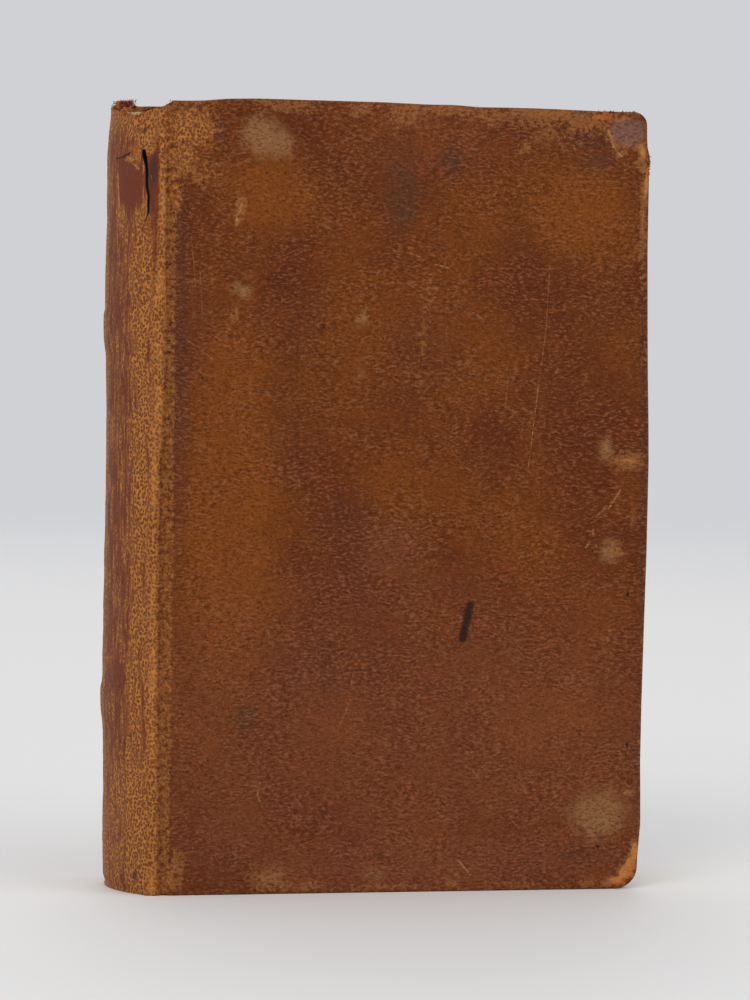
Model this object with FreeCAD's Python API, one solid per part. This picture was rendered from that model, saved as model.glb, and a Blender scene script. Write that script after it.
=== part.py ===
import FreeCAD, Part
import math
import os

# An old book in a full plain sheepskin binding, closed and standing on its tail.
# The spine is at -X, the fore-edge at +X, the front cover faces -Y and the head is up.
# All sizes are in millimetres. While it is drawn, x is counted from the joint grooves.

# Overall sizes
book_height = 180.0
book_thickness = 40.0
board_reach = 112.6  # from the joint groove to the fore-edge of a cover
spine_round = 10.0  # from the joint groove to the crown of the spine
band_rise = 0.5  # how far the leather stands up over each sewing thong

# Thicknesses of the layers
leather_thickness = 0.9
board_thickness = 2.6
turn_in_thickness = 0.5
pastedown_thickness = 0.2
lining_thickness = 0.3
cover_gap = 0.3  # between a closed cover and the text block

# Text block: rounded and backed, with shoulders that the covers close against
square = 2.5  # how far the covers stand past the leaves
shoulder_set = 1.9
shoulder_nose = 1.2
shoulder_hollow = 1.4
ridge_drop = 0.1

# Sewing: two flat thongs let into the back, and a kettle stitch near each end
thong_thickness = 1.4
thong_width = 4.5
upper_thong_height = 128.5
lower_thong_height = 43.5
thong_end = 1.0
band_foot_above = 1.75  # the leather slopes down to the back over this height
band_foot_below = 2.65
band_shoulder = 0.2
band_root = 0.6
band_fade = 3.0  # degrees short of the shoulders
kettle_inset = 11.0
kettle_thread = 0.8
kettle_fade = 2.0
kerf_play = 0.05

# Spine leather: caps at head and tail, the torn head and the crack below it
cap_width = 1.8
cap_bevel = 0.55
cap_play = 0.1
joint_wrap = 50.0
tear_turn = 24.0
tear_outline = (
    (-8.2, -2.5),
    (-7.8, 0.9),
    (-6.2, 2.2),
    (-3.1, 2.8),
    (0.4, 3.3),
    (3.2, 2.7),
    (5.4, 1.9),
    (7.6, 1.6),
    (10.5, 1.2),
    (11.0, -2.5),
)
crack_line = (
    (3.1, 10.9, 0.45),
    (3.7, 14.3, 0.55),
    (4.2, 19.2, 0.5),
    (3.8, 22.6, 0.4),
    (3.0, 25.8, 0.3),
    (2.0, 29.2, 0.25),
    (1.8, 31.7, 0.1),
)
cutter_reach = 3.0

# Covers: pasteboard laced on at two slips, leather turned in, paper pasted down
cover_set = 0.3
board_set = 0.6
front_head_corner = 2.7
front_tail_corner = 5.0
rear_head_corner = 3.0
rear_tail_corner = 3.5
fore_edge_skew = 0.7  # the covers are this much narrower at the tail
outer_edge_round = 0.8
inner_edge_bevel = 0.35
turn_in_width = 15.0
mitre_slit = 0.15
pastedown_margin = 3.5
pastedown_corner = 0.8
slip_thickness = 1.0
slip_run = 9.0
slip_slant = 4.5
slip_end = 23.0
hinge_offset = 0.2  # the hinge line lies this far outside the leather

# Places that follow from the sizes
half_thickness = book_thickness / 2
cover_thickness = leather_thickness + board_thickness + turn_in_thickness
block_half = half_thickness - cover_thickness - pastedown_thickness - cover_gap
block_low = square
block_high = book_height - square
skin_offset = lining_thickness + leather_thickness
nose_y = half_thickness - ridge_drop - skin_offset - shoulder_nose
crown_drop = spine_round - skin_offset - shoulder_set
back_radius = (crown_drop**2 + nose_y**2 - shoulder_nose**2) / (
    2 * (crown_drop - shoulder_nose)
)
back_centre = back_radius + skin_offset - spine_round
back_half_angle = math.degrees(math.atan2(nose_y, back_centre + shoulder_set))
skin_radius = back_radius + skin_offset
block_fore = board_reach - square
overall_width = board_reach + spine_round + band_rise
joint_x = spine_round + band_rise - overall_width / 2
hinge_y = half_thickness + hinge_offset
past = 1.0  # a cutting shape goes this far past what it cuts
on_plane = 0.01  # an edge this near to a plane lies in it


def at(x, y, z=0.0):
    return FreeCAD.Vector(x, y, z)


def line(start, end):
    return Part.makeLine(at(*start), at(*end))


def on_circle(centre, radius, turn):
    angle = math.radians(turn)
    return (centre[0] + radius * math.cos(angle), centre[1] + radius * math.sin(angle))


def arc(centre, radius, first_turn, last_turn):
    middle_turn = (first_turn + last_turn) / 2
    ends = [on_circle(centre, radius, t) for t in (first_turn, middle_turn, last_turn)]
    return Part.Arc(*[at(*end) for end in ends]).toShape()


def upright(edges, low, high):
    """Closed outline in plan, raised from one height to another."""
    face = Part.Face(Part.Wire(edges))
    face.translate(at(0, 0, low))
    return face.extrude(at(0, 0, high - low))


def mirrored(shape):
    """The same shape on the rear side of the book."""
    return shape.mirror(at(0, 0), at(0, 1))


def text_block_outline():
    """Plan of the leaves: flat sides, shoulders, round back and hollow fore-edge."""
    back = shoulder_nose - shoulder_set
    hollow = min(shoulder_hollow, nose_y - block_half - on_plane)
    front = [
        line((block_fore, -block_half), (back + hollow, -block_half)),
        arc((back + hollow, -block_half - hollow), hollow, 90, 180),
        line((back, -block_half - hollow), (back, -nose_y)),
        arc((-shoulder_set, -nose_y), shoulder_nose, 0, back_half_angle - 180),
    ]
    rear = [mirrored(edge) for edge in front]
    round_back = arc(
        (back_centre, 0), back_radius, 180 + back_half_angle, 180 - back_half_angle
    )
    fore_centre = block_fore + math.sqrt(back_radius**2 - block_half**2)
    fore_turn = math.degrees(math.asin(block_half / back_radius))
    fore_edge = arc((fore_centre, 0), back_radius, 180 - fore_turn, 180 + fore_turn)
    return front + [round_back] + list(reversed(rear)) + [fore_edge]


def thong_path():
    """Plan of a thong's middle line, from one joint over the back to the other."""
    crown = back_radius + lining_thickness + band_rise - thong_thickness / 2
    side = nose_y + shoulder_nose + lining_thickness - thong_thickness / 2
    reach = back_centre + shoulder_set
    bend = (crown**2 - reach**2 - side**2) / (2 * (crown - side))
    turn = math.degrees(math.atan2(side - bend, reach))
    front = [
        line((-thong_end, -side), (-shoulder_set, -side)),
        arc((-shoulder_set, bend - side), bend, 270, 180 + turn),
    ]
    rear = [mirrored(edge) for edge in front]
    crown_arc = arc((back_centre, 0), crown, 180 + turn, 180 - turn)
    return Part.Wire(front + [crown_arc] + list(reversed(rear)))


def band_along(path, thickness, width, height):
    """Flat band of even thickness that follows a path in plan, centred on a height."""
    outline = path.makeOffset2D(thickness / 2, 0, False, False)
    face = Part.Face(outline)
    face.translate(at(0, 0, height - width / 2))
    return face.extrude(at(0, 0, width))


def thong(height, play=0.0):
    return band_along(
        thong_path(), thong_thickness + 2 * play, thong_width + 2 * play, height
    )


def about_back(face, half_angle):
    """Turns a section, drawn on the crown line of the spine, round the back."""
    centre = at(back_centre, 0)
    face.rotate(centre, at(0, 0, 1), -half_angle)
    return face.revolve(centre, at(0, 0, 1), 2 * half_angle)


def section(points):
    """Closed section on the crown line: each point is a radius and a height."""
    corners = [at(back_centre - radius, 0, z) for radius, z in points]
    return Part.Face(Part.makePolygon(corners + corners[:1]))


def back_ring(inner, outer, low, high, half_angle):
    corners = ((inner, low), (outer, low), (outer, high), (inner, high))
    return about_back(section(corners), half_angle)


def kettle_heights():
    return (block_high - kettle_inset, block_low + kettle_inset)


def kettle_stitch(height):
    """Linked thread that lies in its saw cut across the back."""
    radius = back_radius - kettle_thread / 2
    turn = back_half_angle - kettle_fade
    path = Part.Wire(arc((back_centre, 0), radius, 180 + turn, 180 - turn))
    return band_along(path, kettle_thread, kettle_thread, height)


def text_block():
    """All the leaves as one solid, sawn for the thongs and the kettle stitches."""
    leaves = upright(text_block_outline(), block_low, block_high)
    for height in (upper_thong_height, lower_thong_height):
        leaves = leaves.cut(thong(height, kerf_play))
    kerf = kettle_thread + 2 * kerf_play
    for height in kettle_heights():
        low = height - kerf / 2
        cut_ring = back_ring(
            back_radius - kerf, back_radius + past, low, low + kerf, back_half_angle
        )
        leaves = leaves.cut(cut_ring)
    return leaves


def spine_lining(low, high):
    return back_ring(
        back_radius, back_radius + lining_thickness, low, high, back_half_angle
    )


def skin_section(centre, inner):
    """Section of the spine leather with a turned cap at head and tail."""
    outer = inner + leather_thickness
    lip = outer - cap_width
    cap_low = square - cap_play
    tail = [(inner, cap_low), (lip, cap_low), (lip, cap_bevel), (lip + cap_bevel, 0)]
    tail += [(outer - cap_bevel, 0), (outer, cap_bevel)]
    head = [(radius, book_height - z) for radius, z in reversed(tail)]
    corners = [at(centre[0] - radius, centre[1], z) for radius, z in tail + head]
    return Part.Face(Part.makePolygon(corners + corners[:1]))


def band_ridge(height):
    """Low ridge of the leather over a thong, which dies out towards the joints."""
    half_angle = back_half_angle - band_fade
    turn = math.radians(half_angle)
    side = skin_radius * math.sin(turn)
    rise = skin_radius * (1 - math.cos(turn)) + band_rise
    radius = (rise**2 + side**2) / (2 * rise)
    centre = radius - spine_round - band_rise
    ridge_angle = math.degrees(math.asin(side / radius))
    edge = thong_width / 2
    crest = (
        (radius - band_root, -edge - band_foot_below),
        (radius - band_root / 4, -edge - band_shoulder),
        (radius, 0),
        (radius - band_root / 8, edge + band_shoulder),
        (radius - band_root, edge + band_foot_above),
    )
    points = [at(centre - r, 0, height + z) for r, z in crest]
    face = Part.Face(Part.makePolygon(points + points[:1]))
    face.rotate(at(centre, 0), at(0, 0, 1), -ridge_angle)
    return face.revolve(at(centre, 0), at(0, 0, 1), 2 * ridge_angle)


def through_skin(outline):
    """Cutter through the leather: the outline is sideways place and depth from the head."""
    turn = math.radians(tear_turn)
    out = at(-math.cos(turn), -math.sin(turn))
    along = at(math.sin(turn), -math.cos(turn))
    foot = at(back_centre, 0) + out * (back_radius - cutter_reach)
    corners = [foot + along * s + at(0, 0, book_height - z) for s, z in outline]
    face = Part.Face(Part.makePolygon(corners + corners[:1]))
    return face.extrude(out * (skin_offset + 2 * cutter_reach))


def crack():
    left = [(s - width / 2, z) for s, z, width in crack_line]
    right = [(s + width / 2, z) for s, z, width in reversed(crack_line)]
    return through_skin(left + right)


def spine_leather():
    """Leather over the back and round both shoulders, torn and cracked at the head."""
    inner = back_radius + lining_thickness
    skin = about_back(skin_section((back_centre, 0), inner), back_half_angle)
    nose_centre = (-shoulder_set, -nose_y)
    nose_section = skin_section(nose_centre, shoulder_nose + lining_thickness)
    nose_section.rotate(at(*nose_centre), at(0, 0, 1), back_half_angle)
    nose_turn = 90 - back_half_angle + joint_wrap
    nose = nose_section.revolve(at(*nose_centre), at(0, 0, 1), nose_turn)
    skin = skin.fuse([nose, mirrored(nose)])
    for height in (upper_thong_height, lower_thong_height):
        skin = skin.fuse(band_ridge(height))
    for height in (upper_thong_height, lower_thong_height):
        skin = skin.cut(thong(height, kerf_play))
    skin = skin.cut(through_skin(tear_outline))
    return skin.cut(crack()).removeSplitter()


def cover_plate(inset, near, outer, thickness, head_corner, tail_corner):
    """Front cover outline moved in by an inset, as a plate with rounded corners."""
    low = inset
    high = book_height - inset
    head_fore = board_reach - inset
    tail_fore = head_fore - fore_edge_skew
    corners = [at(near, outer, low), at(tail_fore, outer, low)]
    corners += [at(head_fore, outer, high), at(near, outer, high)]
    face = Part.Face(Part.makePolygon(corners + corners[:1]))
    plate = face.extrude(at(0, thickness, 0))
    for radius, z in ((head_corner - inset, high), (tail_corner - inset, low)):
        edges = [
            edge
            for edge in plate.Edges
            if abs(edge.CenterOfMass.z - z) < on_plane
            and abs(edge.CenterOfMass.y - outer - thickness / 2) < on_plane
            and edge.CenterOfMass.x > board_reach / 2
        ]
        plate = plate.makeFillet(radius, edges)
    return plate


def rim(plate, y):
    """Edges of a cover plate that lie on one of its faces, without the joint side."""
    return [
        edge
        for edge in plate.Edges
        if abs(edge.BoundBox.YMin - y) < on_plane
        and abs(edge.BoundBox.YMax - y) < on_plane
        and edge.BoundBox.XMax > cover_set + past
    ]


def board_plate(corners):
    outer = leather_thickness - half_thickness
    return cover_plate(leather_thickness, board_set, outer, board_thickness, *corners)


def slip_path():
    """Plan of a slip: over the board, through its hole and along the inside."""
    outer = leather_thickness + slip_thickness / 2 - half_thickness
    inner = outer + board_thickness - slip_thickness
    start = board_set + slip_thickness
    points = ((start, outer), (slip_run, outer), (slip_run + slip_slant, inner))
    points += ((slip_end, inner),)
    return Part.makePolygon([at(*point) for point in points])


def slip(height, play=0.0):
    return band_along(
        slip_path(), slip_thickness + 2 * play, thong_width + 2 * play, height
    )


def board(corners):
    """Pasteboard with a channel and a hole for each slip."""
    plate = board_plate(corners)
    for height in (upper_thong_height, lower_thong_height):
        plate = plate.cut(slip(height, kerf_play))
    return plate


def turn_in_window(inset):
    """Part of the inside that the turned-in leather leaves bare, open at the joint."""
    edge = leather_thickness + turn_in_width + inset
    inner = leather_thickness + board_thickness - half_thickness
    reach = board_reach - fore_edge_skew - edge
    return Part.makeBox(
        reach + past,
        turn_in_thickness + past,
        book_height - 2 * edge,
        at(-past, inner, edge),
    )


def mitre(corner_z, direction):
    """Slit where two turn-ins meet at a corner of the board."""
    inner = leather_thickness + board_thickness - half_thickness
    run = turn_in_width + past
    slit = Part.makeBox(run * math.sqrt(2), turn_in_thickness + past, mitre_slit)
    slit.translate(at(0, 0, -mitre_slit / 2))
    slit.rotate(at(0, 0), at(0, 1, 0), 180 + 45 * direction)
    fore = board_reach - leather_thickness - fore_edge_skew / 2
    slit.translate(at(fore, inner, corner_z))
    return slit


def cover_leather(corners):
    """Leather over the outside of a cover, round three edges and turned in."""
    outer = -half_thickness
    inner = outer + cover_thickness
    skin = cover_plate(0, cover_set, outer, cover_thickness, *corners)
    skin = skin.makeFillet(outer_edge_round, rim(skin, outer))
    skin = skin.makeChamfer(inner_edge_bevel, rim(skin, inner))
    skin = skin.cut(board_plate(corners))
    behind = Part.makeBox(
        board_set + past,
        board_thickness,
        book_height - 2 * leather_thickness,
        at(-past, outer + leather_thickness, leather_thickness),
    )
    skin = skin.cut(behind).cut(turn_in_window(0))
    skin = skin.cut(mitre(leather_thickness, 1))
    return skin.cut(mitre(book_height - leather_thickness, -1))


def paper_plate(outer, thickness):
    corner = pastedown_margin + pastedown_corner
    return cover_plate(pastedown_margin, board_set, outer, thickness, corner, corner)


def pastedown():
    """Paper over the inside of a cover, stepped down off the turn-ins."""
    face = cover_thickness - half_thickness
    paper = paper_plate(face, pastedown_thickness)
    step = turn_in_thickness + pastedown_thickness
    deep = turn_in_window(0).common(paper_plate(face - turn_in_thickness, step))
    hollow = turn_in_window(pastedown_thickness)
    hollow.translate(at(0, pastedown_thickness, 0))
    return paper.fuse(deep).cut(hollow).removeSplitter()


def write(name, shape):
    shape = shape.copy()
    shape.translate(at(joint_x, 0, 0))
    shape.exportStep("parts/" + name + ".step")
    print(name, len(shape.Solids), round(shape.Volume, 1), shape.isValid())


def write_book_block():
    write("text_block", text_block())
    gap = thong_width / 2 + kerf_play
    linings = {
        "head": (upper_thong_height + gap, block_high),
        "middle": (lower_thong_height + gap, upper_thong_height - gap),
        "tail": (block_low, lower_thong_height - gap),
    }
    for place, (low, high) in linings.items():
        write("spine_lining_" + place, spine_lining(low, high))
    write("sewing_thong_upper", thong(upper_thong_height))
    write("sewing_thong_lower", thong(lower_thong_height))
    head_stitch, tail_stitch = kettle_heights()
    write("kettle_stitch_head", kettle_stitch(head_stitch))
    write("kettle_stitch_tail", kettle_stitch(tail_stitch))
    write("spine_leather", spine_leather())


def write_cover(side, corners, place):
    """Writes the pieces of one cover, put in place on its side of the book."""
    write(side + "_board", place(board(corners)))
    write(side + "_cover_leather", place(cover_leather(corners)))
    write(side + "_pastedown", place(pastedown()))
    write(side + "_slip_upper", place(slip(upper_thong_height)))
    write(side + "_slip_lower", place(slip(lower_thong_height)))


os.makedirs("parts", exist_ok=True)
write_book_block()
write_cover("front", (front_head_corner, front_tail_corner), lambda shape: shape)
write_cover("rear", (rear_head_corner, rear_tail_corner), mirrored)
print("joint line", round(joint_x, 3), "hinge", hinge_y, "back radius", back_radius)
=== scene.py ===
import math
import random

import bpy
import numpy as np
from mathutils import Matrix, Vector, noise


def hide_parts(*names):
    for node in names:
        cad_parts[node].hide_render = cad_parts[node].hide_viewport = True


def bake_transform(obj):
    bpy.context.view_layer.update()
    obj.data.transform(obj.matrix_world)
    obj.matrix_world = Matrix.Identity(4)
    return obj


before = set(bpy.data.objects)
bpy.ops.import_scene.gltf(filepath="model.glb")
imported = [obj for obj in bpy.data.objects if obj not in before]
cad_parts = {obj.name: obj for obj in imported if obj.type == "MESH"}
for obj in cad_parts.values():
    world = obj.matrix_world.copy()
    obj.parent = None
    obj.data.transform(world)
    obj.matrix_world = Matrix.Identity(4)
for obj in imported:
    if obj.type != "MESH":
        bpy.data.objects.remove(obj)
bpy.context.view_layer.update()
random.seed(11)
print("frame loaded")

mm = 0.001
book = {
    "height": 180.0,
    "reach": 112.6,  # joint groove to fore-edge
    "half": 20.0,  # half the thickness
    "joint": -51.05,  # groove's place in the frame
    "skew": 0.7,
}
back = {
    "centre": 22.114,
    "radius": 32.114,
    "turn": 36.08,  # degrees from the crown to each shoulder
    "noseX": -1.9,
    "noseY": 17.5,
    "noseRadius": 2.4,
    "seam": 104.0,  # where the two skins meet, round the shoulder
    "roll": 118.0,
}


def tone(red, green, blue):  # a colour read in display values
    def straight(value):
        value = value / 255
        return value / 12.92 if value <= 0.04045 else ((value + 0.055) / 1.055) ** 2.4

    return (straight(red), straight(green), straight(blue), 1.0)


def smooth(low, high, value):
    t = np.clip((np.asarray(value, float) - low) / (high - low), 0, 1)
    return t * t * (3 - 2 * t)


def window(rise, top, fall, end, value):  # 1 in the middle, fading out on both sides
    return smooth(rise, top, value) * (1 - smooth(fall, end, value))


def bell(away, width, power=2):  # 1 in the middle, falling off on both sides
    return np.exp(-((away / width) ** power))


def table(points, value):  # straight lines between named places
    places, amounts = zip(*points)
    return np.interp(value, places, amounts)


def mode(name):
    bpy.ops.object.mode_set(mode=name)


def picking(kind):  # what edit mode picks
    kinds = ("vertices", "edges", "faces")
    picked = tuple(kind == each for each in kinds)
    bpy.context.tool_settings.mesh_select_mode = picked


def clearSelection():
    if bpy.context.object and bpy.context.object.mode != "OBJECT":
        mode("OBJECT")
    bpy.ops.object.select_all(action="DESELECT")


def activate(obj, others=()):
    clearSelection()
    for chosen in (*others, obj):
        chosen.select_set(True)
    bpy.context.view_layer.objects.active = obj


def bake(obj):  # an object's place, turn and size go into its mesh
    obj.data.transform(obj.matrix_world)
    obj.matrix_world = Matrix.Identity(4)


def gridAdd(name, nx, ny):  # a flat grid with the column and row of each vertex
    clearSelection()
    bpy.ops.mesh.primitive_grid_add(x_subdivisions=nx, y_subdivisions=ny, size=2)
    obj = bpy.context.object
    obj.name = name
    share = (readVerts(obj)[:, :2] + 1) / 2
    if len(share) != (nx + 1) * (ny + 1):
        raise ValueError("the grid has other counts than asked for")
    return obj, *np.rint(share * (nx, ny)).astype(int).T


def thicken(obj, name, thickness, offset, angle, rim=0):
    thick = obj.modifiers.new(name, "SOLIDIFY")
    thick.thickness, thick.offset = thickness * mm, offset
    thick.material_offset = thick.material_offset_rim = rim
    bpy.ops.object.modifier_apply(modifier=name)
    bpy.ops.object.shade_smooth_by_angle(angle=math.radians(angle))


def readVerts(obj):
    co = np.empty(len(obj.data.vertices) * 3)
    obj.data.vertices.foreach_get("co", co)
    return co.reshape(-1, 3)


def writeVerts(obj, co):
    obj.data.vertices.foreach_set("co", np.asarray(co, float).ravel())
    obj.data.update()


def readNumbers(obj, name):
    kept = np.empty(len(obj.data.vertices))
    obj.data.attributes[name].data.foreach_get("value", kept)
    return kept


def writeNumbers(obj, name, values, kind="FLOAT"):
    made = obj.data.attributes.get(name) or obj.data.attributes.new(name, kind, "POINT")
    key = "vector" if kind == "FLOAT_VECTOR" else "value"
    kept = np.int32 if kind == "INT" else np.float32
    made.data.foreach_set(key, np.asarray(values).astype(kept).ravel())


def wander(places, scale, seed):  # smooth noise at many places, about -1 to 1
    return np.array(
        [noise.noise(Vector((p[0] * scale, p[1] * scale, seed))) for p in places]
    )


# The skin's plan line, from the rear seam over the back and out along a cover
def shoulderPoint(turn):
    a = math.radians(turn)
    x = back["noseX"] - back["noseRadius"] * math.cos(a)
    return (x, -back["noseY"] - back["noseRadius"] * math.sin(a))


def hermite(a, b, ta, tb, count):
    made = []
    for t in np.linspace(0, 1, count)[1:]:
        h1, h2 = 2 * t**3 - 3 * t**2 + 1, t**3 - 2 * t**2 + t
        h3, h4 = -2 * t**3 + 3 * t**2, t**3 - t**2
        made.append(
            tuple(h1 * a[k] + h2 * ta[k] + h3 * b[k] + h4 * tb[k] for k in (0, 1))
        )
    return made


groove = {"x": 0.1, "y": -19.2, "lip": 1.9}


def planLine(whole):
    line = []
    if whole:
        for turn in np.linspace(back["seam"], back["turn"], 30)[:-1]:
            x, y = shoulderPoint(turn)
            line.append((x, -y))
        for turn in np.linspace(-back["turn"], back["turn"], 160)[:-1]:
            a = math.radians(turn)
            x = back["centre"] - back["radius"] * math.cos(a)
            line.append((x, -back["radius"] * math.sin(a)))
        for turn in np.linspace(back["turn"], back["seam"], 30)[:-1]:
            line.append(shoulderPoint(turn))
    for turn in np.linspace(back["seam"], back["roll"], 12):
        line.append(shoulderPoint(turn))
    a = math.radians(back["roll"])
    low, lip = (groove["x"], groove["y"]), (groove["lip"], -book["half"])
    line += hermite(line[-1], low, (math.sin(a), -math.cos(a)), (0.9, 0), 14)
    line += hermite(low, lip, (0.9, 0), (1.9, 0), 20)
    line.append((book["reach"] + 20, -book["half"]))
    return np.array(line)


def measured(whole):
    line = planLine(whole)
    steps = np.hypot(*np.diff(line, axis=0).T)
    length = np.concatenate([[0], np.cumsum(steps)])
    length += groove["lip"] - length[-2]
    return {"line": line, "length": length}


wholeLine = measured(True)
coverLine = measured(False)
shoulderArc = math.radians(back["seam"] - back["turn"]) * back["noseRadius"]
backArc = math.radians(2 * back["turn"]) * back["radius"]
seamPlace = coverLine["length"][0]
shoulderPlace = seamPlace - shoulderArc
rearShoulder = shoulderPlace - backArc
rearSeam = rearShoulder - shoulderArc


def backPlace(turn):  # length along the skin of a place on the round back
    return shoulderPlace - np.radians(back["turn"] - turn) * back["radius"]


def onPlan(plan, s):
    line, length = plan["line"], plan["length"]
    x, y = np.interp(s, length, line[:, 0]), np.interp(s, length, line[:, 1])
    near, far = s - 0.15, s + 0.15
    tx = np.interp(far, length, line[:, 0]) - np.interp(near, length, line[:, 0])
    ty = np.interp(far, length, line[:, 1]) - np.interp(near, length, line[:, 1])
    size = np.hypot(tx, ty)
    size[size == 0] = 1
    return x, y, ty / size, -tx / size


# Small departures of the outline from straight, read as sizes in mm
foreSway = (
    (0, 0), (8, 0.25), (15, 0.8), (22, 0.7), (29, 0.5), (43, 0.55), (57, 0.75), (78, 1.1),
    (99, 1.2), (108, 1), (120, 0.6), (131, 0.35), (141, 0.15), (148, 0), (166.2, 0),
    (168, 0.29), (170, 0), (171.7, -0.45), (174, -0.6), (180, -0.7),
)
headSway = (
    (2, 0), (8, 0.15), (13, 0.65), (20, 0.85), (49, 0.65), (60, 0.35), (66, 0.4), (72, 0),
    (78, 0.05), (84, 0.05), (90, -0.05), (96, -0.2), (102, -0.35), (111, -0.35),
)
crownSway = (
    (0, -1.2), (1, -0.85), (2.6, -0.3), (14, -0.13), (28, -0.2), (37, 0.1), (49, 0.25),
    (63, 0.15), (77, 0.05), (98, -0.14), (112, 0), (121, 0.15), (132, 0.4), (140, 0.54),
    (147, 0.39), (153, 0.22), (167, 0.36), (173, 0), (177, -0.4),
)
bands = (128.5, 43.5)
bandRise = 0.45


def bandHeight(z):
    rise = np.zeros_like(z)
    for middle in bands:
        rise += window(middle - 7, middle - 2.6, middle + 2.7, middle + 4.1, z)
    return rise * bandRise


crackLine = (
    (148.2, 29.4, 0.03), (150, 30.4, 0.05), (151.6, 32.2, 0.06), (153, 33, 0.09),
    (154.6, 34.6, 0.14), (156.6, 34.5, 0.22), (158.4, 34.7, 0.26), (160.4, 33.7, 0.36),
    (162.4, 33.6, 0.4), (164.6, 33.6, 0.5), (166, 33, 0.7), (167.2, 32.4, 1.1),
    (168.6, 31.6, 0.7),
)
crackLow, crackHigh = crackLine[0][0], crackLine[-1][0]


def crackAt(z):  # place along the skin and width
    zs, turns, widths = zip(*crackLine)
    return backPlace(np.interp(z, zs, turns)), np.interp(z, zs, widths)


tornEdge = (
    (2, 178.9), (3.5, 178.5), (9, 178.1), (12.5, 177.7), (18.5, 177), (24, 176.5),
    (26.5, 176.6), (29.7, 177.3), (33.5, 177.7), (38, 178.3),
)
tornLip = ((-2.9, 178.35), (-1.6, 178.6), (-0.9, 178.9), (-0.2, 179.4), (0.45, 180))
tornFrom, tornTo = backPlace(2.0), 0.45


def tornTop(s):
    line = [(backPlace(turn), top) for turn, top in tornEdge if turn < back["turn"]]
    return table(line + list(tornLip), s)


skinThickness, paperThickness = 0.75, 0.1
edgeInset = 0.8
low, high = edgeInset, book["height"] - edgeInset
boardRings = (
    (0, 0.8), (0.06, 0.49), (0.23, 0.23), (0.49, 0.06), (0.8, 0), (2, 0), (3.45, 0),
    (3.8, 0.12), (4, 0.5), (4, 2.5), (4, 6), (4, 10.5), (4, 15.9),
)
capRings = (
    (0, 0.8), (0.08, 0.45), (0.25, 0.2), (0.5, 0.05), (0.8, 0), (1.15, 0.05), (1.5, 0.25),
    (1.72, 0.7), (1.8, 1.5),
)
foldRing = 8  # the board's inner edge
turnInFrom = 2.0


def spaced(stops, steps):
    made = [stops[0]]
    for a, b, step in zip(stops, stops[1:], steps):
        count = max(1, round((b - a) / step))
        made += list(np.linspace(a, b, count + 1)[1:])
    return np.array(made)


rowPlaces = spaced((low, 4.8, 147.5, high), (0.8, 1.45, 0.62))
foreEnd = book["reach"] - edgeInset
coverColumns = ((seamPlace, groove["lip"], 8.0, 107.5, foreEnd), (0.34, 0.8, 1.5, 0.62))
wholeColumns = (
    (rearSeam, rearShoulder, shoulderPlace) + coverColumns[0],
    (0.55, 0.66, 0.42) + coverColumns[1],
)


# moves the places near a cover's corner onto a round one
def roundCorner(s, z, radius, top):
    reach = radius - edgeInset
    u = (s - (foreEnd - reach)) / reach
    v = (z - (high - reach)) / reach if top else ((low + reach) - z) / reach
    near = (u > 0) & (v > 0)
    un, vn = u[near], v[near]
    s[near] = foreEnd - reach + reach * un * np.sqrt(1 - vn**2 / 2)
    moved = reach * vn * np.sqrt(1 - un**2 / 2)
    z[near] = high - reach + moved if top else low + reach - moved
    return s, z


# puts places on the skin into the frame: s along it, z up, depth inwards
def placed(plan, s, z, depth, lift, side):
    x, y, nx, ny = onPlan(plan, s)
    onCover = smooth(1.0, 10.0, s)
    x = x - onCover * book["skew"] * (1 - z / book["height"]) * s / book["reach"]
    if side == "front":
        x = x + smooth(96, 111, s) * table(foreSway, z)
        z = z + smooth(166, 179, z) * table(headSway, s) * smooth(2, 8, s)
    turned = smooth(-0.4, 0.8, s)
    inX, inY = nx * (1 - turned), ny * (1 - turned) - turned
    x, y = x + nx * lift - inX * depth + book["joint"], y + ny * lift - inY * depth
    return np.stack([x, y if side == "front" else -y, z], 1) * mm


# how far the skin stands out from its plain form
def lifted(s, z, side):
    rise, fall = (rearShoulder - 1, rearShoulder + 6), (shoulderPlace - 4, shoulderPlace + 0.5)
    onBack = window(*rise, *fall, s)
    places = np.stack([s, z], 1)
    nearEnd = window(0.8, 6, 172, 178, z)
    lift = onBack * (bandHeight(z) + table(crownSway, z))
    lift += onBack * nearEnd * 0.13 * wander(places, 0.16, 3.0)
    lift += onBack * nearEnd * 0.07 * wander(places, 0.5, 9.0)
    onCover = window(3, 14, 104, 110, s) * window(2, 12, 168, 178, z)
    lift += onCover * 0.16 * wander(places, 0.035, 5.0 if side == "front" else 25.0)
    rise, fall = (shoulderPlace - 1, shoulderPlace + 0.5), (seamPlace - 0.6, seamPlace - 0.1)
    onShoulder = window(*rise, *fall, s)
    lift += onShoulder * nearEnd * 0.12 * wander(places, 0.22, 14.0)
    if side == "front":
        crackPlace, width = crackAt(z)
        away = np.abs(s - crackPlace) - width / 2
        beside = window(crackLow - 1, crackLow + 8, crackHigh - 1, crackHigh + 2, z)
        lift += 0.22 * beside * bell(away, 1.1)
    return lift


def edgePairs(obj):
    pairs = np.empty(len(obj.data.edges) * 2, int)
    obj.data.edges.foreach_get("vertices", pairs)
    return pairs.reshape(-1, 2)


def selectOnly(obj, kind, chosen):  # the chosen edges with their ends, or the chosen faces
    data = obj.data
    for parts in (data.vertices, data.edges, data.polygons):
        parts.foreach_set("select", np.zeros(len(parts), bool))
    getattr(data, kind).foreach_set("select", chosen)
    if kind == "edges":
        ends = np.zeros(len(data.vertices), bool)
        ends[edgePairs(obj)[chosen].ravel()] = True
        data.vertices.foreach_set("select", ends)


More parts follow.
